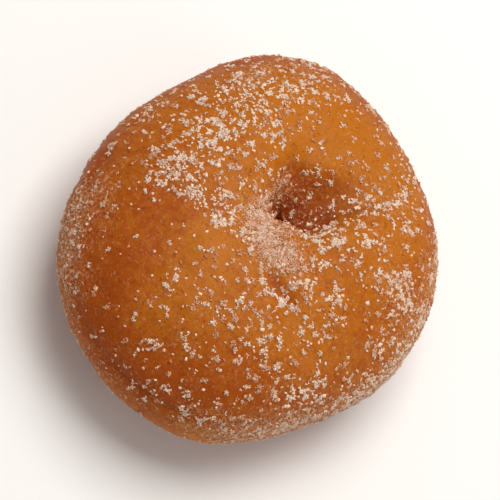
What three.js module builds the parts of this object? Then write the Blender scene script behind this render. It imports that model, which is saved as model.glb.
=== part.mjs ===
// A sugared ring doughnut, lying flat as it is served. Millimetres, +Z up, the origin under the middle of
// its box on the plane that it rests on, -Y towards the fat side of the ring, the one nearest the eye.
//
// The ring is one piece of fried dough. Its hole has nearly closed and lies well off centre, so the ring
// is fat in front and slim behind. A torus is bent into that ring, section by section: each section runs
// from the throat of the hole to the rim, with its own width and its own crown.

import * as THREE from "three";
import { mergeVertices } from "three/addons/utils/BufferGeometryUtils.js";

// Rim seen from above: a mean radius, and the waves that make it uneven, [turns, size, degrees of crest].
const RIM_RADIUS = 41.2;
const RIM_WAVES = [
  [2, 2.47, 94],
  [3, 0.87, 11],
  [4, 0.85, 27],
  [5, 0.2, 46],
  [6, 0.33, 56],
];

// The hole's narrowest place, an oval, and how far behind the rim's middle it lies.
const THROAT_HALF_WIDTH = 3.8;
const THROAT_HALF_DEPTH = 3.5;
const THROAT_BACK = 6.5;
const THROAT_RIGHT = -0.3;

// Heights over the plane that the ring rests on.
const CROWN_HEIGHT = 35.6;
const CROWN_WAVES = [
  [1, 1.1, 268],
  [2, 0.5, 150],
  [3, 0.35, 40],
];
const THROAT_HEIGHT = 20.5;
const WAIST_HEIGHT = 16.8;
const BASE_SAG = 1.1; // dough pressed flat where the ring rests, measured before it is flattened

// Section: where its crown stands between throat (0) and rim (1), and how full its shoulders are.
const CROWN_PLACE = 0.31;
const CROWN_PLACE_WAVES = [
  [1, 0.04, 90],
  [2, 0.04, 90],
];
const SHOULDER_FULLNESS = 0.02;
const CROWN_FULLNESS = 0.93; // 1 is an ellipse, under 1 is fuller

// Folds pinched into the top round the hole: the line that each follows in plan, seen from above, how
// wide its trough is, and how deep it is pressed in at the start and at the end of that line.
const FOLDS = [
  // the long crease, from the hole out to the right
  {
    line: [[4.0, 5.0], [5.6, 8.6], [7.2, 12.2], [8.9, 16.0], [11.6, 20.0], [14.4, 23.4]],
    halfWidth: 1.8,
    depths: [2.4, 0.9],
  },
  // the broad valley behind it
  {
    line: [[2.0, 9.5], [5.5, 14.5], [10.0, 20.0], [14.0, 25.0]],
    halfWidth: 5.5,
    depths: [2.6, 0.9],
  },
  // a nick in the back left of the hole's edge
  {
    line: [[-3.5, 10.4], [-5.9, 12.2], [-8.5, 14.4]],
    halfWidth: 2.4,
    depths: [1.0, 0.4],
  },
  // a short crease in front of the hole
  {
    line: [[7.1, -9.9], [11.2, -11.4], [15.6, -12.5]],
    halfWidth: 3.0,
    depths: [0.9, 1.3],
  },
];
const MARKS = 40; // places along each fold's line
const FOLDS_BEGIN = -0.2; // sine of the turn where the folds start to show, inside the hole
const FOLDS_FULL = 0.35; // and where they have their full depth

// Points of the skin: sections round the ring, points round a section, and how much closer together
// these stand where the folds are, at a turn in degrees from the rim by way of the crown.
const STEPS_ROUND = 92;
const STEPS_SECTION = 52;
const CROWDING = 0.36;
const CROWDED_TURN = 118;
const PLAIN_RING = 2; // radii of the plain torus that is bent into the doughnut
const PLAIN_TUBE = 1;

const radians = THREE.MathUtils.degToRad;
const lerp = THREE.MathUtils.lerp;
const UP = new THREE.Vector3(0, 0, 1);

const foldCurves = FOLDS.map((fold) => {
  const corners = fold.line.map(([x, y]) => new THREE.Vector2(x, y));
  return { ...fold, marks: new THREE.SplineCurve(corners).getSpacedPoints(MARKS) };
});

// Sum of waves round the ring, each with its crest at a given heading.
function waves(list, heading) {
  const heights = list.map(([turns, size, crest]) => size * Math.cos(turns * (heading - radians(crest))));
  return heights.reduce((sum, height) => sum + height, 0);
}

// A power that keeps the sign, which makes a section fuller (under 1) or slimmer (over 1) than an ellipse.
function signedPower(value, power) {
  return Math.sign(value) * Math.abs(value) ** power;
}

function throatPoint(heading) {
  return new THREE.Vector3(
    THROAT_RIGHT + THROAT_HALF_WIDTH * Math.cos(heading),
    THROAT_BACK + THROAT_HALF_DEPTH * Math.sin(heading),
    0,
  );
}

function rimPoint(heading) {
  const radius = RIM_RADIUS + waves(RIM_WAVES, heading);
  return new THREE.Vector3(radius * Math.cos(heading), radius * Math.sin(heading), 0);
}

// How far a point of the section is from throat to rim, for a heading and for its turn round the section.
function acrossAt(heading, turn) {
  const side = Math.cos(turn);
  const place = CROWN_PLACE + waves(CROWN_PLACE_WAVES, heading);
  return place + side / 2 + (0.5 - place) * side ** 2 + SHOULDER_FULLNESS * (side - side ** 3);
}

// How deep the folds are pressed in at a place of the top, from how far each one's line passes it.
function foldDepth(place) {
  return foldCurves.reduce((sum, fold) => {
    const distances = fold.marks.map((mark) => mark.distanceTo(place));
    const nearest = Math.min(...distances);
    const depth = lerp(...fold.depths, distances.indexOf(nearest) / MARKS);
    return sum + depth * Math.exp(-((nearest / fold.halfWidth) ** 2));
  }, 0);
}

// The skin of the ring, for a heading round the ring and a turn round its section, from the rim up.
function skinPoint(heading, turn) {
  const throat = throatPoint(heading);
  const rim = rimPoint(heading);
  const across = acrossAt(heading, turn);
  const point = new THREE.Vector3().lerpVectors(throat, rim, across);
  const level = lerp(THROAT_HEIGHT, WAIST_HEIGHT, across);
  const crown = CROWN_HEIGHT + waves(CROWN_WAVES, heading);
  const rise = Math.sin(turn) > 0 ? crown - level : level + BASE_SAG;
  point.z = level + rise * signedPower(Math.sin(turn), CROWN_FULLNESS);

  const onTop = THREE.MathUtils.smoothstep(Math.sin(turn), FOLDS_BEGIN, FOLDS_FULL);
  const depth = onTop * foldDepth(new THREE.Vector2(point.x, point.y));
  const outwards = rim.sub(throat).normalize();
  point.addScaledVector(outwards, -depth * Math.cos(turn));
  point.addScaledVector(UP, -depth * Math.sin(turn));

  point.z = Math.max(point.z, 0); // the flat foot
  return point;
}

// A plain torus whose points are known by heading and turn, with its seams closed.
function plainRing() {
  const torus = new THREE.TorusGeometry(PLAIN_RING, PLAIN_TUBE, STEPS_SECTION, STEPS_ROUND);
  torus.deleteAttribute("normal");
  torus.deleteAttribute("uv");
  return mergeVertices(torus, 1e-4);
}

function doughnutGeometry() {
  const ring = plainRing();
  const position = ring.getAttribute("position");
  for (let i = 0; i < position.count; i += 1) {
    const x = position.getX(i);
    const y = position.getY(i);
    const heading = Math.atan2(y, x);
    const even = Math.atan2(position.getZ(i), Math.hypot(x, y) - PLAIN_RING);
    const turn = even - CROWDING * Math.sin(even - radians(CROWDED_TURN));
    position.setXYZ(i, ...skinPoint(heading, turn));
  }
  ring.computeBoundingBox();
  const middle = ring.boundingBox.getCenter(new THREE.Vector3());
  ring.translate(-middle.x, -middle.y, 0);
  ring.computeVertexNormals();
  return ring;
}

const friedDough = new THREE.MeshStandardMaterial({ color: 0xb9702e, roughness: 0.55, metalness: 0 });

const doughnut = new THREE.Mesh(doughnutGeometry(), friedDough);
doughnut.name = "doughnut";

const model = new THREE.Group();
model.name = "ring_doughnut";
model.add(doughnut);

export default model;
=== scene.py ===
"""A ring doughnut coated in cinnamon sugar, resting by itself on a pale floor.

Lengths are in metres unless they are said to be in millimetres. +Z is up, the doughnut rests on z = 0 with
its middle over the origin, and the fat side of its ring is towards -Y, nearest the camera.
"""

import logging
import math
from collections.abc import Callable, Iterator, Sequence
from contextlib import contextmanager
from dataclasses import dataclass
from enum import Enum

import bmesh
import bpy
import numpy as np
from bpy.types import ID, Material, Mesh, Node, NodeSocket, NodeTree, Object, bpy_prop_collection
from mathutils import Matrix, Vector, noise
from mathutils.bvhtree import BVHTree
from mathutils.kdtree import KDTree


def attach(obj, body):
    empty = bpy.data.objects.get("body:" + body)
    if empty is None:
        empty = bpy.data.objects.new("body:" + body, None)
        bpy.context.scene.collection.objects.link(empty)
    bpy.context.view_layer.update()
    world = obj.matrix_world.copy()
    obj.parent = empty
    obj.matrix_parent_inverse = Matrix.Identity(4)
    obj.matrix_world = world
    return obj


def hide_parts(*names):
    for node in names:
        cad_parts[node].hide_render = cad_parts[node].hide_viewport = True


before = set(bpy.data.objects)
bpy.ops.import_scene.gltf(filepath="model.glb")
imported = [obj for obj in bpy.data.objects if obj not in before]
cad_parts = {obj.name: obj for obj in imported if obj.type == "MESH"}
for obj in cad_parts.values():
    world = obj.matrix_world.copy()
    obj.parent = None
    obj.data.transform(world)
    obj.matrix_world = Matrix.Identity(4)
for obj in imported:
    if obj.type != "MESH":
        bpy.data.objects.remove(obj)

LOG = logging.getLogger("doughnut")
MM = 0.001
ROOT_BODY = "root"
DOUGH_NODE = "doughnut"
FLAKE_COVER = "flake_cover"
FROST_COVER = "frost_cover"
CAKE_COVER = "cake_cover"
HAZE = "haze"
# The crust's brown, with painted light and painted shade in some of its patches.
BROWNING_AND_PAINTED_LIGHT = "browning_and_painted_light"
# Painted shade in the folds, creases and hole, noted on the crust's vertices.
PAINTED_SHADE = "painted_shade"
CRYSTAL_TINT = "crystal_tint"
BAKE_MAP = "OFBake"
SAME_PLACE = 1e-7  # vertices this near each other count as one

Colour = tuple[float, float, float, float]
Point = tuple[float, float, float]
Line = tuple[Point, ...]
Pair = tuple[float, float]


# ---- working in Blender as by hand


def paint(red: int, green: int, blue: int) -> Colour:
    """Turns a colour as seen on a screen, 0 to 255, into the linear one that a shader takes.

    Args:
        red: Red as seen.
        green: Green as seen.
        blue: Blue as seen.

    Returns:
        The linear colour, fully opaque.
    """

    def linear(value: int) -> float:
        """One channel, by the screen's own curve."""
        share = value / 255
        return share / 12.92 if share <= 0.04045 else ((share + 0.055) / 1.055) ** 2.4

    return linear(red), linear(green), linear(blue), 1.0


def pick_only(piece: Object) -> None:
    """Makes a piece the only selected one, and the active one.

    Args:
        piece: The piece to work on next.
    """
    bpy.ops.object.select_all(action="DESELECT")
    piece.select_set(True)
    bpy.context.view_layer.objects.active = piece


@contextmanager
def edit_mode(piece: Object) -> Iterator[None]:
    """Holds a piece in edit mode, with all of its vertices picked at first.

    Args:
        piece: The piece to shape.

    Yields:
        Nothing; the work is done inside.
    """
    pick_only(piece)
    bpy.ops.object.mode_set(mode="EDIT")
    bpy.ops.mesh.select_mode(type="VERT")
    bpy.ops.mesh.select_all(action="SELECT")
    try:
        yield
    finally:
        bpy.ops.object.mode_set(mode="OBJECT")


def pick_vertices(piece: Object, wanted: Callable[[Vector], bool]) -> None:
    """Selects, in edit mode, just the vertices at places that are wanted.

    Args:
        piece: The piece in edit mode.
        wanted: Says of a vertex's place whether to select it.
    """
    body = bmesh.from_edit_mesh(piece.data)
    for vertex in body.verts:
        vertex.select_set(wanted(vertex.co))
    body.select_flush_mode()
    bmesh.update_edit_mesh(piece.data)


def pick_nearest(piece: Object, place: Vector) -> None:
    """Selects, in edit mode, just the vertex nearest to a place.

    Args:
        piece: The piece in edit mode.
        place: Where to look.
    """
    body = bmesh.from_edit_mesh(piece.data)
    nearest = min(body.verts, key=lambda vertex: (vertex.co - place).length_squared)
    pick_vertices(piece, lambda at: (at - nearest.co).length < SAME_PLACE)


def add_object(name: str, data: ID) -> Object:
    """Puts a new object into the scene.

    Args:
        name: Its name.
        data: Its mesh, light or camera.

    Returns:
        The object.
    """
    thing = bpy.data.objects.new(name, data)
    bpy.context.scene.collection.objects.link(thing)
    return thing


def following(falloff: str, reach: float) -> dict[str, object]:
    """Settings that make the skin round what is moved follow it.

    Args:
        falloff: Blender's name for the way that the pull falls off.
        reach: How far the pull goes.

    Returns:
        The settings, to be given to a transform operator.
    """
    return {
        "use_proportional_edit": True,
        "proportional_edit_falloff": falloff,
        "proportional_size": reach,
    }


def finish_modifier(piece: Object, kind: str, **settings: object) -> None:
    """Adds a modifier to a piece and applies it.

    Args:
        piece: The piece to change.
        kind: Blender's name for the modifier's type.
        **settings: What to set on it.
    """
    pick_only(piece)
    modifier = piece.modifiers.new(kind.lower(), kind)
    for name, value in settings.items():
        setattr(modifier, name, value)
    bpy.ops.object.modifier_apply(modifier=modifier.name)


def numbers_of(things: bpy_prop_collection, name: str, width: int, kind: type) -> np.ndarray:
    """Reads one property of many vertices, triangles or marks at once.

    Args:
        things: What has the property.
        name: The property's name.
        width: How many numbers it has for each.
        kind: What numbers they are.

    Returns:
        One row for each.
    """
    flat = np.empty(len(things) * width, kind)
    things.foreach_get(name, flat)
    return flat.reshape(-1, width)


def places_of(mesh: Mesh) -> np.ndarray:
    """The places of a mesh's vertices, one row each."""
    return numbers_of(mesh.vertices, "co", 3, np.float32).astype(float)


def set_attribute(piece: Object, name: str, values: np.ndarray) -> None:
    """Notes a number on each vertex of a piece, for its material and for the sugar to read."""
    attribute = piece.data.attributes.new(name, "FLOAT", "POINT")
    attribute.data.foreach_set("value", np.asarray(values, np.float32))


def get_attribute(piece: Object, name: str) -> np.ndarray:
    """The numbers noted on a piece's vertices under a name."""
    return numbers_of(piece.data.attributes[name].data, "value", 1, np.float32)[:, 0].astype(float)


def unit(ways: np.ndarray) -> np.ndarray:
    """Directions, one row each, brought to a length of 1."""
    return ways / np.linalg.norm(ways, axis=1, keepdims=True)


def ease(lengths: np.ndarray, between: Pair) -> np.ndarray:
    """A smooth step from 0 to 1.

    Args:
        lengths: Lengths in metres.
        between: The lengths in millimetres where the step begins and ends.

    Returns:
        How far each length has come, from 0 to 1.
    """
    low, high = (length * MM for length in between)
    share = np.clip((lengths - low) / (high - low), 0, 1)
    return share * share * (3 - 2 * share)


# ---- shader benches


class Bench:
    """Lays nodes out in one node tree and joins them up."""

    STEP_RIGHT = 190
    STEP_DOWN = 230
    ROWS = 5

    def __init__(self, tree: NodeTree) -> None:
        """Starts on a tree.

        Args:
            tree: The tree to fill; it is emptied first.
        """
        tree.nodes.clear()
        self.tree = tree
        self.count = 0

    def put(self, kind: str, inputs: dict[str | int, object] | None = None, **settings: object) -> Node:
        """Adds a node.

        Args:
            kind: Blender's identifier of the node's type.
            inputs: Values or sockets for its inputs, by name or number.
            **settings: The node's own settings.

        Returns:
            The new node.
        """
        node = self.tree.nodes.new(kind)
        column, row = divmod(self.count, self.ROWS)
        node.location = (column * self.STEP_RIGHT, -row * self.STEP_DOWN)
        self.count += 1
        for name, value in settings.items():
            setattr(node, name, value)
        for name, value in (inputs or {}).items():
            if isinstance(value, NodeSocket):
                self.tree.links.new(value, node.inputs[name])
            else:
                node.inputs[name].default_value = value
        return node

    def attribute(self, name: str) -> NodeSocket:
        """The numbers noted on the piece under a name."""
        return self.put("ShaderNodeAttribute", attribute_name=name).outputs["Fac"]

    def noise(self, where: NodeSocket, size: float, **inputs: object) -> NodeSocket:
        """Cloudy noise around 0.5, with blotches of a given size."""
        return self.put("ShaderNodeTexNoise", {"Vector": where, "Scale": 1 / size, **inputs}).outputs["Fac"]

    def maths(self, job: str, first: object, second: object) -> NodeSocket:
        """One sum, product or other job on two values or sockets."""
        return self.put("ShaderNodeMath", {0: first, 1: second}, operation=job).outputs[0]

    def total(self, *parts: tuple[NodeSocket, float]) -> NodeSocket:
        """The sum of some sockets, each times its weight.

        Args:
            *parts: The sockets with their weights.

        Returns:
            The sum's socket.
        """
        total, *others = [self.maths("MULTIPLY", *part) for part in parts]
        for other in others:
            total = self.maths("ADD", total, other)
        return total

    def spread(self, value: NodeSocket, low: float, high: float) -> NodeSocket:
        """Stretches the range from low to high smoothly over 0 to 1."""
        inputs = {"Value": value, "From Min": low, "From Max": high}
        return self.put("ShaderNodeMapRange", inputs, interpolation_type="SMOOTHSTEP").outputs["Result"]

    def mix(self, share: object, first: object, second: object) -> NodeSocket:
        """Mixes two colours or sockets, by the share of the second one."""
        return self.put("ShaderNodeMix", {"Factor": share, 6: first, 7: second}, data_type="RGBA").outputs[2]

    def surface(self, inputs: dict[str, object]) -> None:
        """Adds a material's shader, given values or sockets by name, and joins it to the output."""
        shader = self.put("ShaderNodeBsdfPrincipled", inputs)
        self.put("ShaderNodeOutputMaterial", {"Surface": shader.outputs[0]})


def new_material(name: str) -> tuple[Material, Bench]:
    """Starts a material.

    Args:
        name: Its name.

    Returns:
        The material, and the bench to build it on.
    """
    material = bpy.data.materials.new(name)
    material.use_nodes = True
    return material, Bench(material.node_tree)


class GroupBench(Bench):
    """Lays out a node group with named inputs and outputs, for several materials to use."""

    def __init__(self, name: str, takes: dict[str, object], gives: Sequence[str]) -> None:
        """Starts the group.

        Args:
            name: The group's name.
            takes: Its inputs: a float, a colour or, as None, a vector to plug in.
            gives: Its outputs; one whose name ends in Colour is a colour.
        """
        tree = bpy.data.node_groups.new(name, "ShaderNodeTree")
        for label, value in takes.items():
            kind = "Vector" if value is None else "Float" if isinstance(value, float) else "Color"
            socket = tree.interface.new_socket(label, in_out="INPUT", socket_type=f"NodeSocket{kind}")
            if value is not None:
                socket.default_value = value
        for label in gives:
            kind = "Color" if label.endswith("Colour") else "Float"
            tree.interface.new_socket(label, in_out="OUTPUT", socket_type=f"NodeSocket{kind}")
        super().__init__(tree)
        self.taken = self.put("NodeGroupInput").outputs
        self.given = gives

    def give(self, *sockets: NodeSocket) -> NodeTree:
        """Joins sockets to the outputs, in their order, and gives the finished group."""
        self.put("NodeGroupOutput", dict(zip(self.given, sockets)))
        return self.tree


@dataclass(frozen=True)
class SugarFilm:
    """The film of the finest sugar and cinnamon, too fine to be separate crystals."""

    pale: Colour = paint(204, 150, 106)
    brown: Colour = paint(160, 90, 44)
    grain_size: float = 0.62 * MM
    drift_size: float = 3.0 * MM
    heap: Point = (0.7, 0.3, 0.34)  # how much grains, drifts and cover each add to its height
    seen: Pair = (0.53, 0.8)  # the height where it begins to show, and where it shows the most
    tones: Pair = (0.4, 0.62)  # the grains' noise where they are all brown, and where they are all pale

    def make(self) -> NodeTree:
        """Builds the group.

        Returns:
            The group, which gives the film's mask, its height and its colour.
        """
        takes = {"Where": None, "Cover": 0.3, "Pale": self.pale, "Brown": self.brown}
        bench = GroupBench("sugar_film", takes, ("Mask", "Height", "Film Colour"))
        where, cover, pale, brown = (bench.taken[name] for name in takes)
        grains = bench.noise(where, self.grain_size, Detail=2.0, Roughness=0.65)
        drifts = bench.noise(where, self.drift_size, Detail=3.0, Roughness=0.6)
        mask = bench.spread(bench.total(*zip((grains, drifts, cover), self.heap)), *self.seen)
        height = bench.maths("MULTIPLY", mask, grains)
        return bench.give(mask, height, bench.mix(bench.spread(grains, *self.tones), brown, pale))


@dataclass(frozen=True)
class CrystalTint:
    """The shade of one crystal, from the share of brown that it was given when it was strewn."""

    clear: Colour = paint(240, 222, 200)
    stained: Colour = paint(190, 132, 84)

    def make(self) -> NodeTree:
        """Builds the group.

        Returns:
            The group, which gives the crystal's colour.
        """
        takes = {"Clear": self.clear, "Stained": self.stained}
        bench = GroupBench("crystal_tint", takes, ("Crystal Colour",))
        return bench.give(bench.mix(bench.attribute(CRYSTAL_TINT), bench.taken[0], bench.taken[1]))


@dataclass(frozen=True)
class CrustFinish:
    """Fried dough: golden on the crown, browner and redder down its sides, and dusty, with painted shade in
    its folds, creases and hole.
    """

    golden: Colour = paint(181, 104, 22)  # where it is the least browned
    toasted: Colour = paint(157, 71, 13)  # where it is the most browned
    deep: Colour = paint(118, 40, 8)  # painted shade in folds, creases and the hole, and the pores' own dark brown
    patch_size: float = 13 * MM
    mottle_size: float = 1.9 * MM
    pore_size: float = 0.8 * MM
    uneven: Pair = (0.9, 1.7)  # how much patches and mottling each brown it
    evened: float = 1.3  # what they brown it by on average, which is taken off again
    fold_shading: float = 0.8  # how much of the deep colour a full fold of painted shade has
    pore_depth: float = 0.55  # how much of it a pore has
    pore_edge: Pair = (0.58, 0.74)  # the pores' noise where they begin, and where they are deepest
    film_share: float = 0.62  # how much of the crust the film hides
    heights: Point = (0.6, 0.15, 0.5)  # how much mottling, pores and film each stand out
    relief: float = 0.3
    relief_height: float = 0.5 * MM
    roughness: float = 0.38  # of the bare crust
    roughened: Pair = (0.3, 0.16)  # how much rougher film and mottling each make it
    softness: float = 0.1
    soft_depth: float = 1.6 * MM
    soft_tones: Point = (1.0, 0.36, 0.12)  # how deep the light goes in red, green and blue, for that depth
    shine: float = 0.08

    def make(self, film: NodeTree) -> Material:
        """Builds the material.

        Args:
            film: The group for the sugar film.

        Returns:
            The finished material.
        """
        material, bench = new_material("fried_crust")
        where = bench.put("ShaderNodeTexCoord").outputs["Object"]
        patches = bench.noise(where, self.patch_size, Detail=3.0, Roughness=0.55)
        mottle = bench.noise(where, self.mottle_size, Detail=5.0, Roughness=0.72)
        pores = bench.noise(where, self.pore_size, Detail=2.0, Roughness=0.5)

        uneven = bench.total(*zip((patches, mottle), self.uneven))
        # This brown brings the crust's own frying colour together with painted light and painted shade.
        browned = bench.maths("ADD", bench.attribute(BROWNING_AND_PAINTED_LIGHT), bench.maths("SUBTRACT", uneven, self.evened))
        skin = bench.mix(bench.spread(browned, 0.0, 1.0), self.golden, self.toasted)
        # Painted shade: the deep colour mixed in along folds, creases and the hole.
        in_fold = bench.maths("MULTIPLY", bench.attribute(PAINTED_SHADE), self.fold_shading)
        skin = bench.mix(in_fold, skin, self.deep)
        in_pore = bench.maths("MULTIPLY", bench.spread(pores, *self.pore_edge), self.pore_depth)
        skin = bench.mix(in_pore, skin, self.deep)

        coat = bench.put("ShaderNodeGroup", {"Where": where, "Cover": bench.attribute(HAZE)}, node_tree=film)
        mask, film_height, film_colour = coat.outputs
        height = bench.total(*zip((mottle, pores, film_height), self.heights))
        relief = {"Strength": self.relief, "Distance": self.relief_height, "Height": height}
        rougher = bench.total(*zip((mask, mottle), self.roughened))
        bench.surface({
            "Base Color": bench.mix(bench.maths("MULTIPLY", mask, self.film_share), skin, film_colour),
            "Roughness": bench.maths("ADD", rougher, self.roughness),
            "Normal": bench.put("ShaderNodeBump", relief).outputs["Normal"],
            "Subsurface Weight": self.softness,
            "Subsurface Radius": self.soft_tones,
            "Subsurface Scale": self.soft_depth,
            "Specular IOR Level": self.shine,
        })
        return material


@dataclass(frozen=True)
class CrystalFinish:
    """Small crystals: pale and glinting when clean, brown where cinnamon clings to them."""

    name: str
    clear: Colour
    stained: Colour
    roughness: float
    softness: float = 0.0
    soft_depth: float = 0.35 * MM
    soft_tones: Point = (1.0, 0.8, 0.6)  # how deep the light goes in red, green and blue, for that depth
    shine: float = 0.3

    def make(self, tint: NodeTree) -> Material:
        """Builds the material.

        Args:
            tint: The group for a crystal's shade.

        Returns:
            The finished material.
        """
        material, bench = new_material(self.name)
        shade = bench.put("ShaderNodeGroup", {"Clear": self.clear, "Stained": self.stained}, node_tree=tint)
        bench.surface({
            "Base Color": shade.outputs[0],
            "Roughness": self.roughness,
            "Subsurface Weight": self.softness,
            "Subsurface Radius": self.soft_tones,
            "Subsurface Scale": self.soft_depth,
            "Specular IOR Level": self.shine,
        })
        return material


SUGAR = CrystalFinish("sugar_crystal", paint(250, 220, 195), paint(204, 118, 54), 0.4, 0.3)
CINNAMON = CrystalFinish("cinnamon_bark", paint(134, 68, 30), paint(84, 40, 18), 0.8)


# ---- what lies where on the dough


def distance_to(line: Line, places: np.ndarray) -> np.ndarray:
    """How far places lie from a bent line.

    Args:
        line: The line's corners in millimetres.
        places: Places in metres, one row each.

    Returns:
        The distances in millimetres.
    """
    corners = np.array(line) * MM
    best = np.full(len(places), np.inf)
    for start, end in zip(corners[:-1], corners[1:]):
        step = end - start
        along = np.clip((places - start) @ step / float(step @ step), 0, 1)
        best = np.minimum(best, np.linalg.norm(places - start - along[:, None] * step, axis=1))
    return best / MM


@dataclass(frozen=True)
class Patch:
    """A stretch of the doughnut that has more of something than the rest, or less."""

    line: Line  # the line that it follows, in millimetres
    reach: float  # how far it spreads to each side, in millimetres
    share: float  # how much it adds there; under 0 it takes away

    def amount(self, places: np.ndarray) -> np.ndarray:
        """What it adds at each place, one row each in metres."""
        return self.share * np.exp(-((distance_to(self.line, places) / self.reach) ** 2))


# Lines that several things follow, in millimetres.
LOWER_RIGHT_RIM = ((22, -35, 18), (30, -24, 19), (36, -11, 20), (38, 2, 21))
LOWER_EDGE = ((3, -42.5, 15), (12, -40.5, 15), (21, -35, 15), (27, -29, 14))
LEFT_FLANK = ((-16.8, -34.8, 26.2), (-18.3, -14.8, 33.8))
SLIM_SIDE = ((-13.7, 24.1, 34.3), (0.4, 27.5, 33.4))
BACK_LEFT = ((-27.5, 21, 30.2), (-16.8, 37.7, 27.3))

FLAKES = (
    Patch(((-3, 9, 27), (1.9, 9.5, 27.1), (5.5, 12.5, 29.2)), 3, -0.22),
    Patch(((-0.7, 12.3, 28.8), (3.8, 16.7, 30.4)), 3, -0.1),
    Patch(((-21, 3.8, 35.1), (-21, 23, 33)), 7, 0.42),
    Patch(((-24.4, -8.3, 32.8), (-23.3, 3.2, 34.3)), 5.5, 0.36),
    Patch(((2.5, 3.8, 33), (6.4, 3.9, 33.9), (7.7, 8.9, 32.4)), 1.3, 0.5),
    Patch(((-19, -6, 34.2), (-10.7, -4.6, 35.6)), 3.2, 0.38),
    Patch(((-15.2, -9.4, 35.1), (-4.6, -7.4, 36.2)), 2.4, 0.2),
    Patch(((-15.6, -7.3, 35.2), (-11.4, -8.8, 35.6), (-8, -9.4, 36), (-8.4, -5.5, 35.7)), 0.6, 0.9),
    Patch(BACK_LEFT, 5.5, 0.12),
    Patch(((-12, 32, 32), (2, 36, 28)), 5.5, 0.06),
    Patch(((-1, -4.5, 36), (5, -6, 36.6)), 3, 0.35),
    Patch(((7.1, 3.9, 34.9), (7.6, 9, 32), (6.2, 13.6, 30.8)), 0.7, 0.8),
    Patch(((8.5, 3.3, 35.5), (10.1, 3.8, 35.6), (9.6, 6.6, 35), (11.7, 8.3, 35.2)), 0.7, 1),
    Patch(((9, -2, 36.4), (11.5, -0.3, 36.1), (13.1, 2.9, 35.8), (14, 5.1, 35.6)), 0.7, 0.9),
    Patch(((14.2, 11.1, 35.1), (16.4, 13.1, 34.7), (18, 15.2, 34.2)), 0.7, 0.9),
    Patch(((9, 13.8, 32.5), (10.9, 14.7, 33.8), (12.3, 14.8, 34.3)), 0.7, 0.8),
    Patch(
        ((5.2, 10.4, 29.6), (4.6, 14.1, 30.4), (4, 16.7, 31.3), (6.5, 17.3, 31.6), (9.8, 17.7, 32.1)),
        0.6, 0.9,
    ),
    Patch(((12, 19.6, 32.6), (13.4, 24, 31.8), (14.2, 26.2, 31.4), (13.4, 27.8, 31.2)), 1.2, 0.6),
    Patch(((15.3, 24.2, 31.8), (18.8, 24, 31.6)), 0.9, 0.6),
    Patch(((12.6, -5.3, 36.2), (18.7, -3, 34.9)), 2.2, 0.35),
    Patch(((17, 8, 34.7), (22.6, 10.4, 33.6)), 2.4, 0.2),
    Patch(((25.2, 10.5, 32.5), (33, 12, 27)), 4.6, 0.3),
    Patch(((-7.6, -23.5, 34.3), (8.4, -19.9, 35.6)), 4, 0.1),
    Patch(((13.8, -21.7, 34.1), (29, -18.2, 26.9)), 6, 0.12),
    Patch(((23.7, -24.2, 28.8), (29.4, -18.4, 26.4)), 1.4, 0.5),
    Patch(((5.9, -12.4, 36.5), (9.2, -11.5, 35.8), (12.2, -11.3, 35.2), (14.8, -11, 34.6)), 0.55, 1),
    Patch(((-21.7, -14.7, 32.8), (-21.9, -12.9, 33)), 0.6, 0.9),
    Patch(SLIM_SIDE, 6.5, -0.14),
    Patch(((-27.1, 24.7, 28.8), (-17.9, 35, 28.5), (-8, 37.5, 28.5)), 3.5, -0.12),
    Patch(((-9.9, -11.4, 35.7), (-5.7, -12.1, 36.1), (-0.7, -11.8, 36.4)), 3, -0.1),
    Patch(((12.6, -33.4, 29.2), (20.6, -25.6, 29.8)), 5, -0.08),
    Patch(LEFT_FLANK, 9, -0.2),
    Patch(((-16, -39.4, 20), (-6, -42, 18), (4.6, -42, 17), (12.2, -40, 17), (22, -35, 16)), 5, -0.12),
    # More white flakes along the lower right rim: real flakes, with painted rim light.
    Patch(((23, -34, 19), (30, -23.5, 20), (36, -8, 21.5), (38, 2, 22), (35, 13, 24)), 3, 0.3),
)

CAKES = (
    Patch(((-4.6, -1, 34.4), (-1.2, -4, 35.8), (3, -5.6, 36.5), (5.6, -4.8, 36.6)), 3.3, 1),
    Patch(((-4.6, 4, 32), (-1, 1.6, 33.4), (3, 1, 34.6)), 2.2, 0.7),
    Patch(((-6, 10.5, 30.5), (-6, 6, 31.8), (-5.2, 2, 33)), 1, 0.5),
    Patch(((-4.6, 10, 26), (-1.5, 12.5, 27)), 2.6, 0.4),
)

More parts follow.
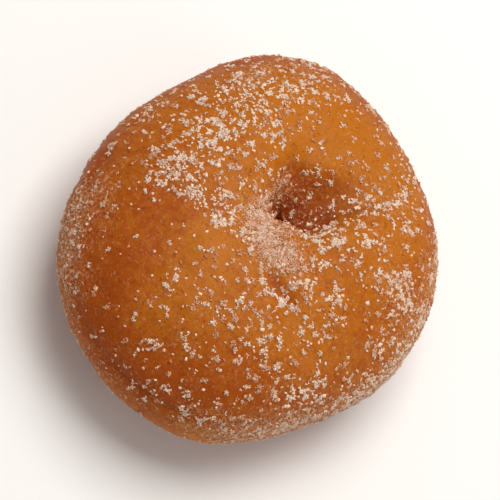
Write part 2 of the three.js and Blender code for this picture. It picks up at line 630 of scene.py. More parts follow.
FROST = (
    # More frost along the lower and right rims: real frost, with painted rim light.
    Patch(LOWER_RIGHT_RIM, 3.6, 0.6),
    Patch(((38, 2, 21), (36, 9, 23), (34, 15, 24), (27, 27, 25)), 3.6, 0.6),
    Patch(((-33, 20, 25), (-36, 7, 24.5), (-37, -5, 23), (-34.5, -14, 21)), 4.4, -0.5),
    Patch(((-20, -37, 19), (-10.7, -40, 21), (-2.6, -42.4, 21), (9.2, -41.4, 20)), 4.5, -0.22),
    Patch(((-4.5, 0.4, 33.6), (-1, -3, 35.2), (3.2, -4.6, 36.3), (5.8, -4, 36.5)), 4.2, 1),
    Patch(((-6.1, 11.5, 30.5), (-6.1, 7, 31.8), (-5.7, 3.1, 33), (-4.9, 0, 34.1)), 1.2, 0.6),
    Patch(((-6.1, 9.5, 31.5), (-3.8, 7.6, 28.5)), 1.8, 0.5),
    Patch(((-3, 9.8, 28.8), (-2.3, 11.9, 29.7), (0, 12.6, 29)), 1.8, 0.25),
    Patch(((-3.4, 9.4, 28.6), (0.2, 9.4, 27.6), (4.6, 9.8, 29.4)), 1.6, 0.08),
    Patch(BACK_LEFT, 5.5, 0.3),
    Patch(((-9.1, 36.5, 29.8), (5, 39.5, 26)), 5, 0.1),
    Patch(((25.2, 10.5, 32.5), (34, 10, 26)), 5, 0.3),
    Patch(((12, 19.6, 32.6), (14.2, 26.2, 31.4)), 3, 0.25),
    Patch(((-22.1, -35.9, 19.6), (-32.8, -17.9, 24.6)), 5.5, 0.5),
    Patch(((19, -34.5, 23.5), (32, -20, 22)), 4.5, 0.3),
    Patch(LEFT_FLANK, 6.5, -0.1),
    Patch(LOWER_EDGE, 2.8, -0.3),
    Patch(SLIM_SIDE, 6.5, -0.1),
)

# Painted shade in the hole's dimple, darkest along the upper edge of its near lip.
PAINTED_DIMPLE_SHADE = (
    Patch(
        ((-3.8, 7.8, 27.7), (-0.7, 8.9, 25.4), (1.9, 8.5, 27.1), (5, 9.1, 29.2), (6.1, 11.3, 29.2)),
        2.6, 0.82,
    ),
    Patch(((-3.8, 10.6, 28.9), (-0.7, 12.3, 28.8), (1.6, 14.7, 29.1), (3.8, 16.7, 30.4)), 4, 0.45),
    Patch(((4.2, 13.3, 29.4), (7.3, 14.9, 29.5), (9.2, 16.9, 31.6), (11.5, 19.2, 32.2)), 2.2, 0.25),
    Patch(((-0.4, 7.8, 26.8), (2.7, 7.9, 28.2), (5.2, 8.9, 29.6), (6.1, 10.9, 30.1)), 1.7, 0.6),
)

# Patches where the crust is browner (over 0) or more golden (under 0): partly its own frying colour, partly
# painted light and painted shade, as said below.
BROWNER_AND_PAINTED_LIGHT = (
    # More golden along the lower and right rims: painted rim light.
    Patch(LOWER_RIGHT_RIM, 6, -0.35),
    Patch(((38, 2, 21), (36, 9, 23), (34, 15, 24), (31, 22, 25)), 5, -0.4),
    Patch(((-33, 18, 26), (-36, 7, 25), (-37, -5, 23)), 6, -0.25),
    # Redder on the dimple's far wall above the hole: painted shade.
    Patch(((-5, 14, 30.6), (0, 17, 31.4), (4, 18.6, 31.2)), 3.6, 0.4),
    # More golden on the slim back crown: its own colour with painted light.
    Patch((*SLIM_SIDE, (13, 31, 30)), 9, -0.45),
    Patch(((-10.3, -12.7, 35.6), (-4.9, -13, 36.3)), 3.5, -0.35),
    # Redder along the short crease: painted shade.
    Patch(((6.1, -9.7, 35.5), (7.7, -9.7, 35.6), (10.3, -10, 35.3), (12, -9.8, 34.9)), 1.3, 0.5),
    # Browner down the left flank and across the lower middle: its own colour with painted shade.
    Patch(LEFT_FLANK, 9, 0.3),
    Patch(((-7.6, -42, 20.1), (12, -30, 31)), 9, 0.3),
    # More golden along the bottom rim: painted light bounced off the floor.
    Patch(((-14, -40, 19), (-2.6, -43, 20), (9.2, -41.4, 20), (20, -35.5, 19)), 5, -0.35),
    Patch(LOWER_EDGE, 2.6, -0.4),
)

CLOUD = (0.8, 2.0, 3)  # how much weaker and finer each layer of clouds is than the last, and how many layers


def clouds(places: np.ndarray, size: float) -> np.ndarray:
    """Cloudy noise around 0 at each place, with blotches of a given size in metres."""
    return np.array([noise.fractal(Vector(place) / size, *CLOUD) for place in places])


@dataclass(frozen=True)
class Cover:
    """How much of something lies on each place of the crust, or how brown it is there."""

    name: str  # the attribute that it is noted under
    patches: tuple[Patch, ...]  # where there is more or less of it
    limits: Pair  # the least and the most that there is
    crown: float = 0.0  # how much there is on the crown
    side: float = 0.0  # how much more there is down the sides
    turn: Pair = (18.0, 27.0)  # the heights where the sides end and the crown begins, in millimetres
    clouds: Pair = (0.0, 0.0)  # how much broad and small clouds each change it

    def amount(self, places: np.ndarray, broad: np.ndarray, small: np.ndarray) -> np.ndarray:
        """How much there is at each place, before its limits.

        Args:
            places: The places in metres, one row each.
            broad: The broad clouds there.
            small: The small clouds there.

        Returns:
            One number for each place.
        """
        amount = self.crown + self.side * (1 - ease(places[:, 2], self.turn))
        amount = amount + self.clouds[0] * broad + self.clouds[1] * small
        return amount + sum(patch.amount(places) for patch in self.patches)


COVERS = (
    Cover(FLAKE_COVER, FLAKES, (0.015, 1.3), crown=0.25, side=-0.12, clouds=(0.12, 0.14)),
    Cover(CAKE_COVER, CAKES, (0.0, 1.0)),
    Cover(FROST_COVER, FROST, (0.05, 1.0), crown=0.08, side=0.4, clouds=(0.1, 0.0)),
    Cover(BROWNING_AND_PAINTED_LIGHT, BROWNER_AND_PAINTED_LIGHT, (0.0, 1.3), crown=0.3, side=0.6, turn=(22.0, 35.0)),
)


# ---- the crust


@dataclass(frozen=True)
class Pinch:
    """A place where the dough is pushed in or out, in millimetres."""

    at: Point  # where it is pushed
    move: Point  # how far and which way
    reach: float  # how far round it the dough follows


@dataclass(frozen=True)
class Crease:
    """A line along which the skin is pressed in, in millimetres."""

    line: Line  # the line's corners
    half_width: float  # half the width of its trough
    depth: float  # how deep it is; under 0 it is a ridge
    shade: float = 0.0  # how much painted shade darkens the skin along it

    def profile(self, places: np.ndarray) -> np.ndarray:
        """How much of its depth the crease has at each place, from 0 to 1."""
        return np.exp(-((distance_to(self.line, places) / self.half_width) ** 2))


@dataclass
class Crust:
    """The ring of fried dough: a torus pulled off centre, fitted to the frame's solid and wrinkled."""

    pinches: tuple[Pinch, ...]  # where the fitted dough is pushed in or out
    creases: tuple[Crease, ...]  # where its skin is pressed in or raised along a line
    steps_round: int = 208  # faces round the ring, before it is made finer
    steps_section: int = 112  # faces round a section, before it is made finer
    half_height: float = 18.3 * MM  # half the height of the ring
    mean_radius: float = 22.6 * MM  # the radius of the ring's middle line
    flatten: Pair = (0.95, 1.06)  # how wide and how deep the ring is for its mean radius
    hole: Pair = (-0.9 * MM, 6.8 * MM)  # where the hole lies, in plan
    edge_margin: float = 0.3 * MM  # how far outside the hole's edge the dough is still moved in full
    hole_lift: float = 2 * MM  # how far the hole's edge is raised
    hole_pull: float = 36 * MM  # how far round the hole the ring is pulled along with it
    foot: float = 0.7 * MM  # up to what height the underside is pressed flat
    weld: float = 0.01 * MM  # how near each other the corners of the solid are merged
    quad_angle: float = math.radians(60)  # up to what angle two of its triangles are joined
    fit_rounds: int = 3  # how many times the ring is fitted and smoothed
    fit_smoothing: float = 0.4  # how much it is smoothed each time
    throat: Pair = (-0.9 * MM, 5.3 * MM)  # where the hole's wall closes, in plan
    narrowing: float = 0.15  # how wide the hole is there, for its width before
    narrow_between: Pair = (20.0 * MM, 25.0 * MM)  # the heights between which it closes
    narrow_reach: float = 8 * MM  # how far the skin round it follows
    coat: float = 0.25 * MM  # how far the skin lies under the solid's, to leave room for the sugar
    coat_fades: Pair = (0.2, 4.0)  # the heights where the foot turns into rough skin, in millimetres
    swells: tuple[tuple[str, float, float], ...] = (  # names, sizes and depths of the skin's unevenness
        ("swells", 11 * MM, 1.0 * MM),
        ("wrinkles", 3.6 * MM, 0.36 * MM),
        ("grain", 1.5 * MM, 0.16 * MM),
    )
    cloud_sizes: Pair = (10 * MM, 3 * MM)  # how large the broad and the small clouds of sugar are
    flake_haze: float = 0.07  # how much film lies where flakes do
    haze_limits: Pair = (0.05, 1.2)  # the least and the most film
    pit_shade: float = 0.3  # how much painted shade darkens the skin deep in the hole
    pit_reach: Pair = (4.0, 8.5)  # how far from the hole's middle that fades, in millimetres
    pit_heights: Pair = (26.0, 33.0)  # the heights where it fades, in millimetres

    LEAST_WEIGHT = 0.004  # a vertex that weighs less stays where it is

    def build(self) -> Object:
        """Models the crust and dresses it.

        Returns:
            The finished piece, standing for the frame's dough.
        """
        crust = self._rough_ring()
        self._fit(crust)
        self._narrow(crust)
        self._push(crust)
        finish_modifier(crust, "SUBSURF", levels=1, render_levels=1)
        self._crease(crust)
        self._roughen(crust)
        self._mark(crust)
        pick_only(crust)
        bpy.ops.object.shade_smooth()
        crust.data.materials.clear()
        crust.data.materials.append(CrustFinish().make(SugarFilm().make()))
        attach(crust, ROOT_BODY)
        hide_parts(DOUGH_NODE)
        highest = places_of(crust.data)[:, 2].max()
        LOG.info("crust: %d faces, %.1f mm high", len(crust.data.polygons), highest / MM)
        return crust

    def _rough_ring(self) -> Object:
        """A torus at the doughnut's size, with its hole pushed back and its underside flat.

        Returns:
            The rough ring.
        """
        bpy.ops.object.select_all(action="DESELECT")
        middle = (0.0, 0.0, self.half_height)
        bpy.ops.mesh.primitive_torus_add(
            location=middle,
            major_segments=self.steps_round,
            minor_segments=self.steps_section,
            major_radius=self.mean_radius,
            minor_radius=self.half_height,
            generate_uvs=True,
        )
        ring = bpy.context.object
        ring.name = ring.data.name = "crust"
        bpy.ops.object.transform_apply(location=True, rotation=True, scale=True)
        hole_edge = self.mean_radius - self.half_height + self.edge_margin
        with edit_mode(ring):
            bpy.ops.transform.resize(value=(*self.flatten, 1.0), center_override=middle)
            pick_vertices(ring, lambda place: place.xy.length < hole_edge * self.flatten[1])
            pull = following("LINEAR", self.hole_pull)
            bpy.ops.transform.translate(value=(*self.hole, self.hole_lift), **pull)
            pick_vertices(ring, lambda place: place.z < self.foot)
            bpy.ops.transform.resize(value=(1, 1, 0), center_override=(0, 0, 0))
        return ring

    def _fit(self, crust: Object) -> None:
        """Lays the ring against a merged and smoothed copy of the frame's dough.

        Args:
            crust: The rough ring.
        """
        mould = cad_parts[DOUGH_NODE].copy()
        mould.data = mould.data.copy()
        mould.parent = None
        bpy.context.scene.collection.objects.link(mould)
        mould.name = "mould"
        with edit_mode(mould):
            bpy.ops.mesh.remove_doubles(threshold=self.weld)
            angle = self.quad_angle
            bpy.ops.mesh.tris_convert_to_quads(face_threshold=angle, shape_threshold=angle)
        finish_modifier(mould, "SUBSURF", levels=2, render_levels=2)
        for _ in range(self.fit_rounds):
            finish_modifier(crust, "SHRINKWRAP", target=mould, wrap_method="NEAREST_SURFACEPOINT")
            with edit_mode(crust):
                bpy.ops.mesh.vertices_smooth(factor=self.fit_smoothing, repeat=1)
        finish_modifier(crust, "SHRINKWRAP", target=mould, wrap_method="NEAREST_SURFACEPOINT")
        bpy.data.objects.remove(mould)

    def _narrow(self, crust: Object) -> None:
        """Draws the hole's wall together half way down, as the dough closed it when it swelled.

        Args:
            crust: The fitted ring.
        """
        low, high = self.narrow_between
        hole, throat = Vector((*self.hole, 0)), Vector((*self.throat, 0))
        with edit_mode(crust):
            pick_vertices(crust, lambda at: low < at.z < high and (at - hole).xy.length < self.narrow_reach)
            scale = (self.narrowing, self.narrowing, 1.0)
            pull = following("SMOOTH", self.narrow_reach)
            bpy.ops.transform.resize(value=scale, center_override=throat, **pull)

    def _push(self, crust: Object) -> None:
        """Pushes the broader dents and bumps into the fitted ring.

        Args:
            crust: The fitted ring.
        """
        with edit_mode(crust):
            for pinch in self.pinches:
                pick_nearest(crust, Vector(pinch.at) * MM)
                pull = following("SMOOTH", pinch.reach * MM)
                bpy.ops.transform.translate(value=Vector(pinch.move) * MM, **pull)

    def _displace(self, crust: Object, weights: np.ndarray, strength: float, **settings: object) -> None:
        """Moves the skin out along its normals, more where it weighs more.

        Args:
            crust: The shaped ring.
            weights: How much of it each vertex takes, from 0 to 1.
            strength: How far out it moves.
            **settings: What else to set on the modifier.
        """
        group = crust.vertex_groups.new(name="displaced")
        for index in np.flatnonzero(weights > self.LEAST_WEIGHT):
            group.add([int(index)], float(weights[index]), "REPLACE")
        finish_modifier(crust, "DISPLACE", strength=strength, vertex_group=group.name, **settings)
        crust.vertex_groups.clear()

    def _crease(self, crust: Object) -> None:
        """Presses the creases into the skin, and raises the ridges.

        Args:
            crust: The shaped ring.
        """
        places = places_of(crust.data)
        for sign in (1, -1):
            kind = [crease for crease in self.creases if crease.depth * sign > 0]
            depths = sum(abs(crease.depth) * crease.profile(places) for crease in kind)
            deepest = float(depths.max())
            self._displace(crust, depths / deepest, -sign * deepest * MM, mid_level=0.0)

    def _roughen(self, crust: Object) -> None:
        """Draws the skin in by the sugar's thickness and makes it uneven, with the foot left flat.

        Args:
            crust: The shaped ring.
        """
        weights = ease(places_of(crust.data)[:, 2], self.coat_fades)
        self._displace(crust, weights, -self.coat, mid_level=0.0)
        for name, size, depth in self.swells:
            texture = bpy.data.textures.new(name, "CLOUDS")
            texture.noise_scale = size
            texture.noise_depth = 2
            self._displace(crust, weights, depth, texture=texture, texture_coords="LOCAL", mid_level=0.5)

    def _mark(self, crust: Object) -> None:
        """Notes on the crust where flakes and frost of sugar lie, how brown it is, and where shade is
        painted into its folds, creases and hole.

        Args:
            crust: The finished shape.
        """
        places = places_of(crust.data)
        broad, small = (clouds(places, size) for size in self.cloud_sizes)
        amounts = {cover.name: cover.amount(places, broad, small) for cover in COVERS}
        for cover in COVERS:
            set_attribute(crust, cover.name, np.clip(amounts[cover.name], *cover.limits))
        haze = amounts[FROST_COVER] + self.flake_haze * amounts[FLAKE_COVER]
        set_attribute(crust, HAZE, np.clip(haze, *self.haze_limits))
        # Painted shade deep in the hole, along the creases and in the dimple.
        from_hole = np.linalg.norm(places[:, :2] - np.array(self.hole), axis=1)
        pit = (1 - ease(from_hole, self.pit_reach)) * (1 - ease(places[:, 2], self.pit_heights))
        folds = sum(crease.shade * crease.profile(places) for crease in self.creases)
        dimple = sum(patch.amount(places) for patch in PAINTED_DIMPLE_SHADE)
        set_attribute(crust, PAINTED_SHADE, np.clip(pit * self.pit_shade + folds + dimple, 0, 1))


# ---- the sugar


class Spread(Enum):
    """How crystals lie on the crust."""

    SINGLE = "single"
    CHAINED = "chained"


class Grain(Enum):
    """The shape of a crystal."""

    BLOCK = "block"
    SHARD = "shard"


@dataclass(frozen=True)
class Seats:
    """Where crystals sit."""

    places: np.ndarray  # where they sit, one row each
    normals: np.ndarray  # which way is out there
    tones: np.ndarray  # how much browner they are than the rest


@dataclass
class Strewing:
    """One kind of crystal, strewn over the crust as a single joined mesh."""

    name: str  # the piece's name
    spread: Spread  # whether its crystals lie singly or cling together in bent chains
    count: int  # how many crystals or chains of them there are, at the most
    sizes: Pair  # the smallest and largest size of a crystal, in millimetres
    follows: str  # the attribute that says where they gather
    lean: float  # how strongly they gather there
    stain: float  # the mean share of brown
    seed: int  # fixes the strewing
    chain: tuple[int, int] = (1, 1)  # how many crystals a chain has, from and to, where its attribute is 0.6
    step: float = 0.3  # how far apart a chain's crystals lie, in millimetres
    gap: float = 0.0  # how far apart chains start at the least, in millimetres
    fades: float = 0.0  # how much browner it is where its attribute is 0 than where it is 1
    finish: CrystalFinish = SUGAR  # what it is made of
    grain: Grain = Grain.SHARD  # the shape of its crystals
    flatness: float = 0.55  # how high a crystal stands for its width
    clearing: float = 0.9  # how much clearer a crystal is at its top than at its foot
    slot: str = "sugar"  # a slot name for its finish

    SIZE_LEAN = (1.5, 2.6)  # the beta distribution of sizes, with more small crystals than large ones
    STRETCH = (0.6, 1.4)  # how much a crystal is stretched along each of its sides, from and to
    DENTS = 0.07  # how far each corner of a crystal is off, for its size
    SINK = 0.15  # how far in or out of the skin a crystal sits, for its size
    TIPPING = 0.45  # how far a crystal is tipped off its face
    STAINS = 0.15  # how much crystals differ in brown
    TONES = 0.28  # how much chains differ in brown
    OFF_FLOOR = 0.01 * MM  # how far every corner stays over the floor
    OFF_FOOT = 0.3 * MM  # no crystal lies on the foot under this height
    BARE_CHAIN = 0.4  # how much of its length a chain has where its attribute is 0
    ASKEW = (0.31, 0.77, 0.55)  # a direction that hardly any normal follows, to lay chains out by
    LIFT = 0.08 * MM  # how high a chain's crystals are stacked
    BRANCHING = 0.6  # how often a chain branches rather than bends
    BRANCH_TURN = 1.3  # how far a branch turns off, in radians
    BEND = 0.6  # how much a chain bends at a crystal, in radians
    SCATTER = 0.4  # how far crystals lie off their chain, for its step
    SHARD = (0.7, 0.9)  # a shard's radius and height, for its size
    KNOCKED = 0.08  # how far the corners are off on all crystals alike
    CELL = (0.3, 0.4)  # where a crystal begins in its square of the bake map, and how wide it is there

    def build(self, crust: Object, tint: NodeTree) -> Object:
        """Strews the crystals over the crust.

        Args:
            crust: The finished crust.
            tint: The group for a crystal's shade.

        Returns:
            The finished piece.
        """
        draw = np.random.default_rng(self.seed)
        seats = self._seats(crust, draw)
        count = len(seats.places)
        corners, faces = self._crystal()
        low, high = self.sizes
        size = low * (high / low) ** draw.beta(*self.SIZE_LEAN, count) * MM
        turned = self._turns(seats.normals, draw)
        stretch = draw.uniform(*self.STRETCH, (count, 1, 3)) * (1, 1, self.flatness)
        dents = draw.normal(0, self.DENTS, (count, len(corners), 3))
        shapes = (corners[None] * stretch + dents) * size[:, None, None]
        shapes = np.einsum("nij,nkj->nki", turned, shapes)
        sunk = (size * draw.uniform(-self.SINK, self.SINK, count))[:, None]
        seated = seats.places + seats.normals * sunk
        vertices = (shapes + seated[:, None]).reshape(-1, 3)
        vertices[:, 2] = np.maximum(vertices[:, 2], self.OFF_FLOOR)
        rise = np.einsum("nki,ni->nk", shapes, seats.normals) / size[:, None]
        stains = self.stain + seats.tones + draw.normal(0, self.STAINS, count)
        stains = np.clip(stains[:, None] - self.clearing * rise, 0, 1)

        piece = self._join(vertices, faces, stains)
        piece.data.materials.append(self.finish.make(tint))
        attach(piece, ROOT_BODY)
        triangles = count * len(faces) * (faces.shape[1] - 2)
        LOG.info("%s: %d crystals, %d triangles", self.name, count, triangles)
        return piece

    def _seats(self, crust: Object, draw: np.random.Generator) -> Seats:
        """Draws where the crystals sit.

        Args:
            crust: The finished crust.
            draw: The source of random numbers.

        Returns:
            Their seats, with tones that are alike in a chain, and browner where sugar is thin.
        """
        crust.data.calc_loop_triangles()
        index = numbers_of(crust.data.loop_triangles, "vertices", 3, np.int32)
        points = places_of(crust.data)
        corners = points[index]
        crosses = np.cross(corners[:, 1] - corners[:, 0], corners[:, 2] - corners[:, 0])
        areas = np.linalg.norm(crosses, axis=1)
        cover = get_attribute(crust, self.follows)[index].mean(1)
        chance = areas * cover**self.lean
        chance[corners[:, :, 2].max(1) < self.OFF_FOOT] = 0
        tries = self.count * (2 if self.gap else 1)
        chosen = draw.choice(len(index), tries, p=chance / chance.sum())
        places = np.einsum("nk,nkj->nj", draw.dirichlet((1, 1, 1), tries), corners[chosen])
        kept = self._apart(places)[: self.count]
        chosen = chosen[kept]
        normals = crosses[chosen] / areas[chosen][:, None]
        tones = draw.normal(0, self.TONES, len(kept)) + self.fades * (0.5 - np.minimum(cover[chosen], 1))
        starts = Seats(places[kept], normals, tones)
        if self.spread is Spread.SINGLE:
            return starts
        surface = BVHTree.FromPolygons(points.tolist(), index.tolist())
        return self._chains(starts, cover[chosen], surface, draw)

    def _apart(self, places: np.ndarray) -> np.ndarray:
        """Picks out places in their order, leaving out those too near to one picked before.

        Args:
            places: The places to pick from, one row each.

        Returns:
            The numbers of the picked places.
        """
        if not self.gap:
            return np.arange(len(places))
        tree = KDTree(len(places))
        for number, place in enumerate(places):
            tree.insert(place, number)
        tree.balance()
        left_out = np.zeros(len(places), bool)
        for number, place in enumerate(places):
            if not left_out[number]:
                for _, other, _ in tree.find_range(place, self.gap * MM):
                    left_out[other] |= other > number
        return np.flatnonzero(~left_out)

    def _chains(self, starts: Seats, cover: np.ndarray, skin: BVHTree, draw: np.random.Generator) -> Seats:
        """Lays a chain of crystals along the skin from each start.

        Args:
            starts: Where the chains start.
            cover: The attribute there; the more, the longer the chain.
            skin: The crust's skin.
            draw: The source of random numbers.

        Returns:
            The seats of all crystals of all chains.
        """
        shortest, longest = self.chain
        lengths = shortest * (longest / shortest) ** draw.random(len(cover)) * (self.BARE_CHAIN + cover)
        lengths = np.maximum(lengths.astype(int), 1)
        owner = np.repeat(np.arange(len(cover)), lengths)
        steps = np.concatenate([self._chain(length, draw) for length in lengths]) * MM
        side = unit(np.cross(starts.normals, self.ASKEW))
        other = np.cross(starts.normals, side)
        loose = starts.places[owner] + side[owner] * steps[:, :1] + other[owner] * steps[:, 1:]
        found = [skin.find_nearest(Vector(place)) for place in loose]
        places = np.array([place for place, *_ in found])
        normals = np.array([normal for _, normal, *_ in found])
        lift = np.abs(draw.normal(0, self.LIFT, len(found)))
        return Seats(places + normals * lift[:, None], normals, starts.tones[owner])

    def _chain(self, length: int, draw: np.random.Generator) -> np.ndarray:
        """Lays out one bent and branching chain of crystals on a plane.

        Args:
            length: How many crystals it has.
            draw: The source of random numbers.

        Returns:
            Their places in millimetres, one row each, from (0, 0) on.
        """
        spots = [np.zeros(2)]
        heading = draw.uniform(0, math.tau)
        turns = (-self.BRANCH_TURN, self.BRANCH_TURN)
        for _ in range(length - 1):
            branches = draw.random() < self.BRANCHING
            start = spots[draw.integers(len(spots))] if branches else spots[-1]
            heading += draw.choice(turns) if branches else draw.normal(0, self.BEND)
            way = np.array((math.cos(heading), math.sin(heading)))
            spots.append(start + way * self.step + draw.normal(0, self.SCATTER, 2) * self.step)
        return np.array(spots)

    def _crystal(self) -> tuple[np.ndarray, np.ndarray]:
        """One crystal of size 1, a cube or a pyramid with its corners pulled about in edit mode.

        Returns:
            Its corners and its faces.
        """
        bpy.ops.object.select_all(action="DESELECT")
        if self.grain is Grain.BLOCK:
            bpy.ops.mesh.primitive_cube_add(size=1)
        else:
            radius, depth = self.SHARD
            bpy.ops.mesh.primitive_cone_add(vertices=3, radius1=radius, depth=depth, end_fill_type="NGON")
        crystal = bpy.context.object
        with edit_mode(crystal):
            bpy.ops.transform.vertex_random(offset=self.KNOCKED, seed=self.seed)
        corners = places_of(crystal.data)
        faces = np.array([tuple(face.vertices) for face in crystal.data.polygons])
        bpy.data.objects.remove(crystal)
        return corners, faces

    def _turns(self, normals: np.ndarray, draw: np.random.Generator) -> np.ndarray:
        """A turn for each crystal, any way round but most often lying on a face.

        Args:
            normals: Which way is out at each crystal.
            draw: The source of random numbers.

        Returns:
            One rotation matrix each.
        """
        up = unit(normals + draw.normal(0, self.TIPPING, normals.shape))
        side = unit(np.cross(up, draw.normal(0, 1, normals.shape)))
        return np.stack((side, np.cross(up, side), up), axis=2)

    def _join(self, vertices: np.ndarray, faces: np.ndarray, stains: np.ndarray) -> Object:
        """Joins all crystals into one mesh, with a cell of the bake map for each.

        Args:
            vertices: All corners, crystal by crystal.
            faces: One crystal's faces.
            stains: The share of brown at each corner, one row for each crystal.

        Returns:
            The piece.
        """
        count, corners = stains.shape
        sides = faces.shape[1]
        polygons = (faces[None] + np.arange(count)[:, None, None] * corners).reshape(-1, sides)
        mesh = bpy.data.meshes.new(self.name)
        mesh.vertices.add(len(vertices))
        mesh.vertices.foreach_set("co", vertices.astype(np.float32).ravel())
        mesh.loops.add(polygons.size)
        mesh.loops.foreach_set("vertex_index", polygons.astype(np.int32).ravel())
        mesh.polygons.add(len(polygons))
        mesh.polygons.foreach_set("loop_start", np.arange(0, polygons.size, sides, dtype=np.int32))
        mesh.update(calc_edges=True)
        mesh.validate()
        piece = add_object(self.name, mesh)
        set_attribute(piece, CRYSTAL_TINT, stains.ravel())

        begin, width = self.CELL
        cells = math.ceil(math.sqrt(count))
        row, column = np.divmod(np.arange(count), cells)
        low = np.stack(((column + begin) / cells, (row + begin) / cells), axis=1)
        square = np.array(((0, 0), (1, 0), (1, 1), (0, 1)))[:sides] * width / cells
        cell = low[:, None, None] + np.broadcast_to(square, (count, *faces.shape, 2))
        mesh.uv_layers.new(name=BAKE_MAP).data.foreach_set("uv", cell.astype(np.float32).ravel())
        return piece


# ---- the studio


@dataclass(frozen=True)
class Lamp:
    """A square soft light that faces the doughnut."""

    name: str
    way: Point  # its direction: up the picture, to its right and towards the camera
    distance: float  # how far off it stands
    side: float  # how wide it is
    watts: float
    tone: Point


@dataclass
class Studio:
    """A pale floor, one broad soft light from above and behind, and a long lens looking down."""

    lamps: tuple[Lamp, ...] = (
        Lamp("key", (0.55, 0.42, 0.72), 0.7, 0.5, 4.7, (1.0, 0.975, 0.94)),
        Lamp("fill", (-0.7, -0.3, 0.6), 0.8, 0.8, 0.6, (1.0, 0.93, 0.9)),
        Lamp("side", (-0.5, 0.85, 0.2), 0.7, 0.3, 0.8, (1.0, 0.97, 0.93)),
    )
    elevation: float = 64.0  # how high the camera looks down from, in degrees over the floor
    roll: float = 45.0  # how far the picture is turned, in degrees
    distance: float = 0.8  # how far the camera stands off
    view_width: float = 104 * MM  # how wide the picture is at the doughnut
    aim: Point = (-0.8 * MM, 0.6 * MM, 17 * MM)  # the point in the middle of the picture
    sensor: float = 36.0  # how wide the camera's sensor is, in millimetres
    glow: float = 0.3  # how bright the surroundings are
    glow_tone: Colour = (1.0, 0.99, 0.98, 1.0)
    floor_size: float = 4.0
    floor_tone: Colour = paint(245, 244, 242)
    floor_roughness: float = 0.8

    def build(self) -> None:
        """Sets up camera, lights, surroundings and floor."""
        axes = self._axes()
        self._camera(*axes)
        for lamp in self.lamps:
            self._light(lamp, *axes)
        self._surroundings()
        self._floor()

    def _axes(self) -> tuple[Vector, Vector, Vector]:
        """Which way the picture lies.

        Returns:
            The picture's up, its right and the way towards the camera.
        """
        lift, roll = math.radians(self.elevation), math.radians(self.roll)
        towards = Vector((0, -math.cos(lift), math.sin(lift)))
        level_right, level_up = Vector((1, 0, 0)), Vector((0, math.sin(lift), math.cos(lift)))
        right = level_right * math.cos(roll) + level_up * math.sin(roll)
        up = level_up * math.cos(roll) - level_right * math.sin(roll)
        return up, right, towards

    def _camera(self, up: Vector, right: Vector, towards: Vector) -> None:
        """Adds a camera with a long lens, turned as the picture is.

        Args:
            up: The picture's up.
            right: The picture's right.
            towards: The way towards the camera.
        """
        lens = bpy.data.cameras.new("camera")
        lens.sensor_width = self.sensor
        lens.lens = self.sensor * self.distance / self.view_width
        camera = add_object("camera", lens)
        turn = Matrix((right, up, towards)).transposed().to_4x4()
        camera.matrix_world = Matrix.Translation(Vector(self.aim) + towards * self.distance) @ turn
        bpy.context.scene.camera = camera

    def _light(self, lamp: Lamp, *axes: Vector) -> None:
        """Hangs a lamp up.

        Args:
            lamp: The lamp.
            *axes: The picture's up, its right and the way towards the camera.
        """
        light = bpy.data.lights.new(lamp.name, "AREA")
        light.size = lamp.side
        light.energy = lamp.watts
        light.color = lamp.tone
        holder = add_object(lamp.name, light)
        way = sum((axis * share for axis, share in zip(axes, lamp.way)), Vector()).normalized()
        holder.location = Vector(self.aim) + way * lamp.distance
        holder.rotation_euler = way.to_track_quat("Z", "Y").to_euler()

    def _surroundings(self) -> None:
        """Makes the surroundings even and pale, and shows colours as they are."""
        world = bpy.data.worlds.new("surround")
        world.use_nodes = True
        bench = Bench(world.node_tree)
        glow = bench.put("ShaderNodeBackground", {"Color": self.glow_tone, "Strength": self.glow})
        bench.put("ShaderNodeOutputWorld", {"Surface": glow.outputs[0]})
        bpy.context.scene.world = world
        bpy.context.scene.view_settings.view_transform = "Standard"
        bpy.context.scene.view_settings.look = "None"

    def _floor(self) -> None:
        """Lays a plain pale floor."""
        bpy.ops.object.select_all(action="DESELECT")
        bpy.ops.mesh.primitive_plane_add(size=self.floor_size)
        floor = bpy.context.object
        floor.name = "floor"
        material, bench = new_material("pale_floor")
        bench.surface({"Base Color": self.floor_tone, "Roughness": self.floor_roughness})
        floor.data.materials.append(material)


# ---- the doughnut

PINCHES = (
    Pinch((2.6, 3.4, 31.8), (0.2, 2.3, 0.3), 5.5),
    Pinch((-0.8, 3.8, 30), (0.6, 1.5, 0.1), 4),
    Pinch((-2, 17, 31.8), (0, -0.6, 1), 6.5),
    Pinch((-8, -13, 36), (0, 0, 0.5), 6),
    Pinch((10, -7.5, 36.4), (0, 0, 0.4), 5),
    Pinch((32.9, -19.5, 19), (-0.5, 0.3, 0), 8),
)

WAIST = (
    (-35.9, -9.2, 24.4), (-34.7, -15.9, 23.4), (-31.7, -22.7, 23.1),
    (-27.3, -29.5, 22.7), (-22.1, -35.1, 22), (-16, -39.4, 21.4),
    (-6, -42, 21.6), (4.6, -41.7, 22.6), (12.2, -39.7, 23.2),
    (19, -36.3, 22.9), (25.1, -30.5, 22.8), (29.5, -23.1, 23.4),
    (32.7, -16.3, 23.5), (35.1, -11, 23.4), (36.4, -4.1, 24.2),
)

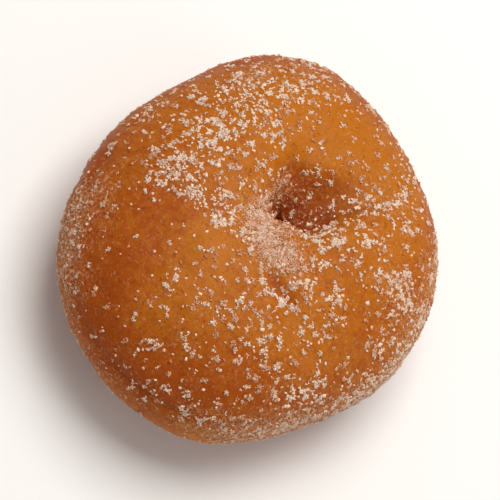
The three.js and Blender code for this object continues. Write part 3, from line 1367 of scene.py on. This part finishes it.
# The fourth number of a crease is the painted shade along it.
CREASES = (
    Crease(((6.1, 11.3, 29.2), (7.3, 14.9, 29.5), (9.2, 16.9, 31.6), (12, 21.4, 31.8)), 1.2, 0.4, 0.3),
    Crease(((6.1, -9.7, 35.8), (8, -9.8, 35.7), (10.3, -10.2, 35.3), (12.4, -10, 34.9)), 1.3, 0.6, 0.2),
    Crease(((8.6, 2.4, 35.9), (10.4, 3.2, 35.8), (11.2, 5.4, 35.6)), 0.6, 0.35, 0.15),
    Crease(((9.8, -3.6, 36.6), (12.6, -1.4, 36.2), (14.4, 2, 35.8)), 0.6, 0.3, 0.15),
    Crease(((-1.4, -0.6, 34.2), (-0.6, -4.2, 36)), 0.5, 0.3),
    Crease(((1.4, -1, 35), (2.4, -5, 36.6)), 0.5, 0.35),
    Crease(((4.4, 0.4, 35.2), (6.6, -3.6, 36.6)), 0.5, 0.35),
    Crease(((-5.6, 2, 33.4), (-6, 6.6, 31.9), (-6, 11, 30.9)), 0.7, -0.35),
    Crease(((-0.6, -2.4, 35.2), (0.6, -6, 36.6)), 0.5, -0.3),
    Crease(((3, -1, 35.4), (4.6, -5, 36.7)), 0.5, -0.3),
    Crease(WAIST, 0.9, 0.35, 0.5),
)

STREWINGS = (
    Strewing(
        "sugar_flakes", Spread.CHAINED, count=1850, sizes=(0.28, 0.8), follows=FLAKE_COVER, lean=1.4,
        stain=0.3, seed=11, chain=(4, 90), step=0.19, gap=0.85, fades=1.0,
    ),
    Strewing(
        "caked_sugar", Spread.CHAINED, count=430, sizes=(0.26, 0.66), follows=CAKE_COVER, lean=1.4,
        stain=0.72, seed=17, chain=(6, 40), step=0.19,
    ),
    Strewing(
        "clinging_sugar", Spread.CHAINED, count=1800, sizes=(0.26, 0.64), follows=FROST_COVER, lean=2.0,
        stain=0.5, seed=29, chain=(4, 32), step=0.18, gap=0.6,
    ),
    Strewing(
        "loose_sugar", Spread.SINGLE, count=1200, sizes=(0.34, 0.8), follows=FLAKE_COVER, lean=1.2,
        stain=0.4, seed=19, fades=0.8, grain=Grain.BLOCK,
    ),
    Strewing(
        "sugar_dust", Spread.SINGLE, count=17000, sizes=(0.2, 0.52), follows=FROST_COVER, lean=2.2,
        stain=0.75, seed=23,
    ),
    Strewing(
        "cinnamon_specks", Spread.SINGLE, count=3200, sizes=(0.14, 0.34), follows=FROST_COVER, lean=0.5,
        stain=0.5, seed=37, finish=CINNAMON,
    ),
)


def main() -> None:
    """Builds the doughnut and the studio round it; the crust logs its faces and height, and each strewing
    its crystals and triangles.
    """
    logging.basicConfig(level=logging.INFO, format="%(name)s: %(message)s")
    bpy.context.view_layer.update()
    crust = Crust(PINCHES, CREASES).build()
    tint = CrystalTint().make()
    for strewing in STREWINGS:
        strewing.build(crust, tint)
    Studio().build()
    bpy.context.view_layer.update()


if __name__ == "__main__":
    main()
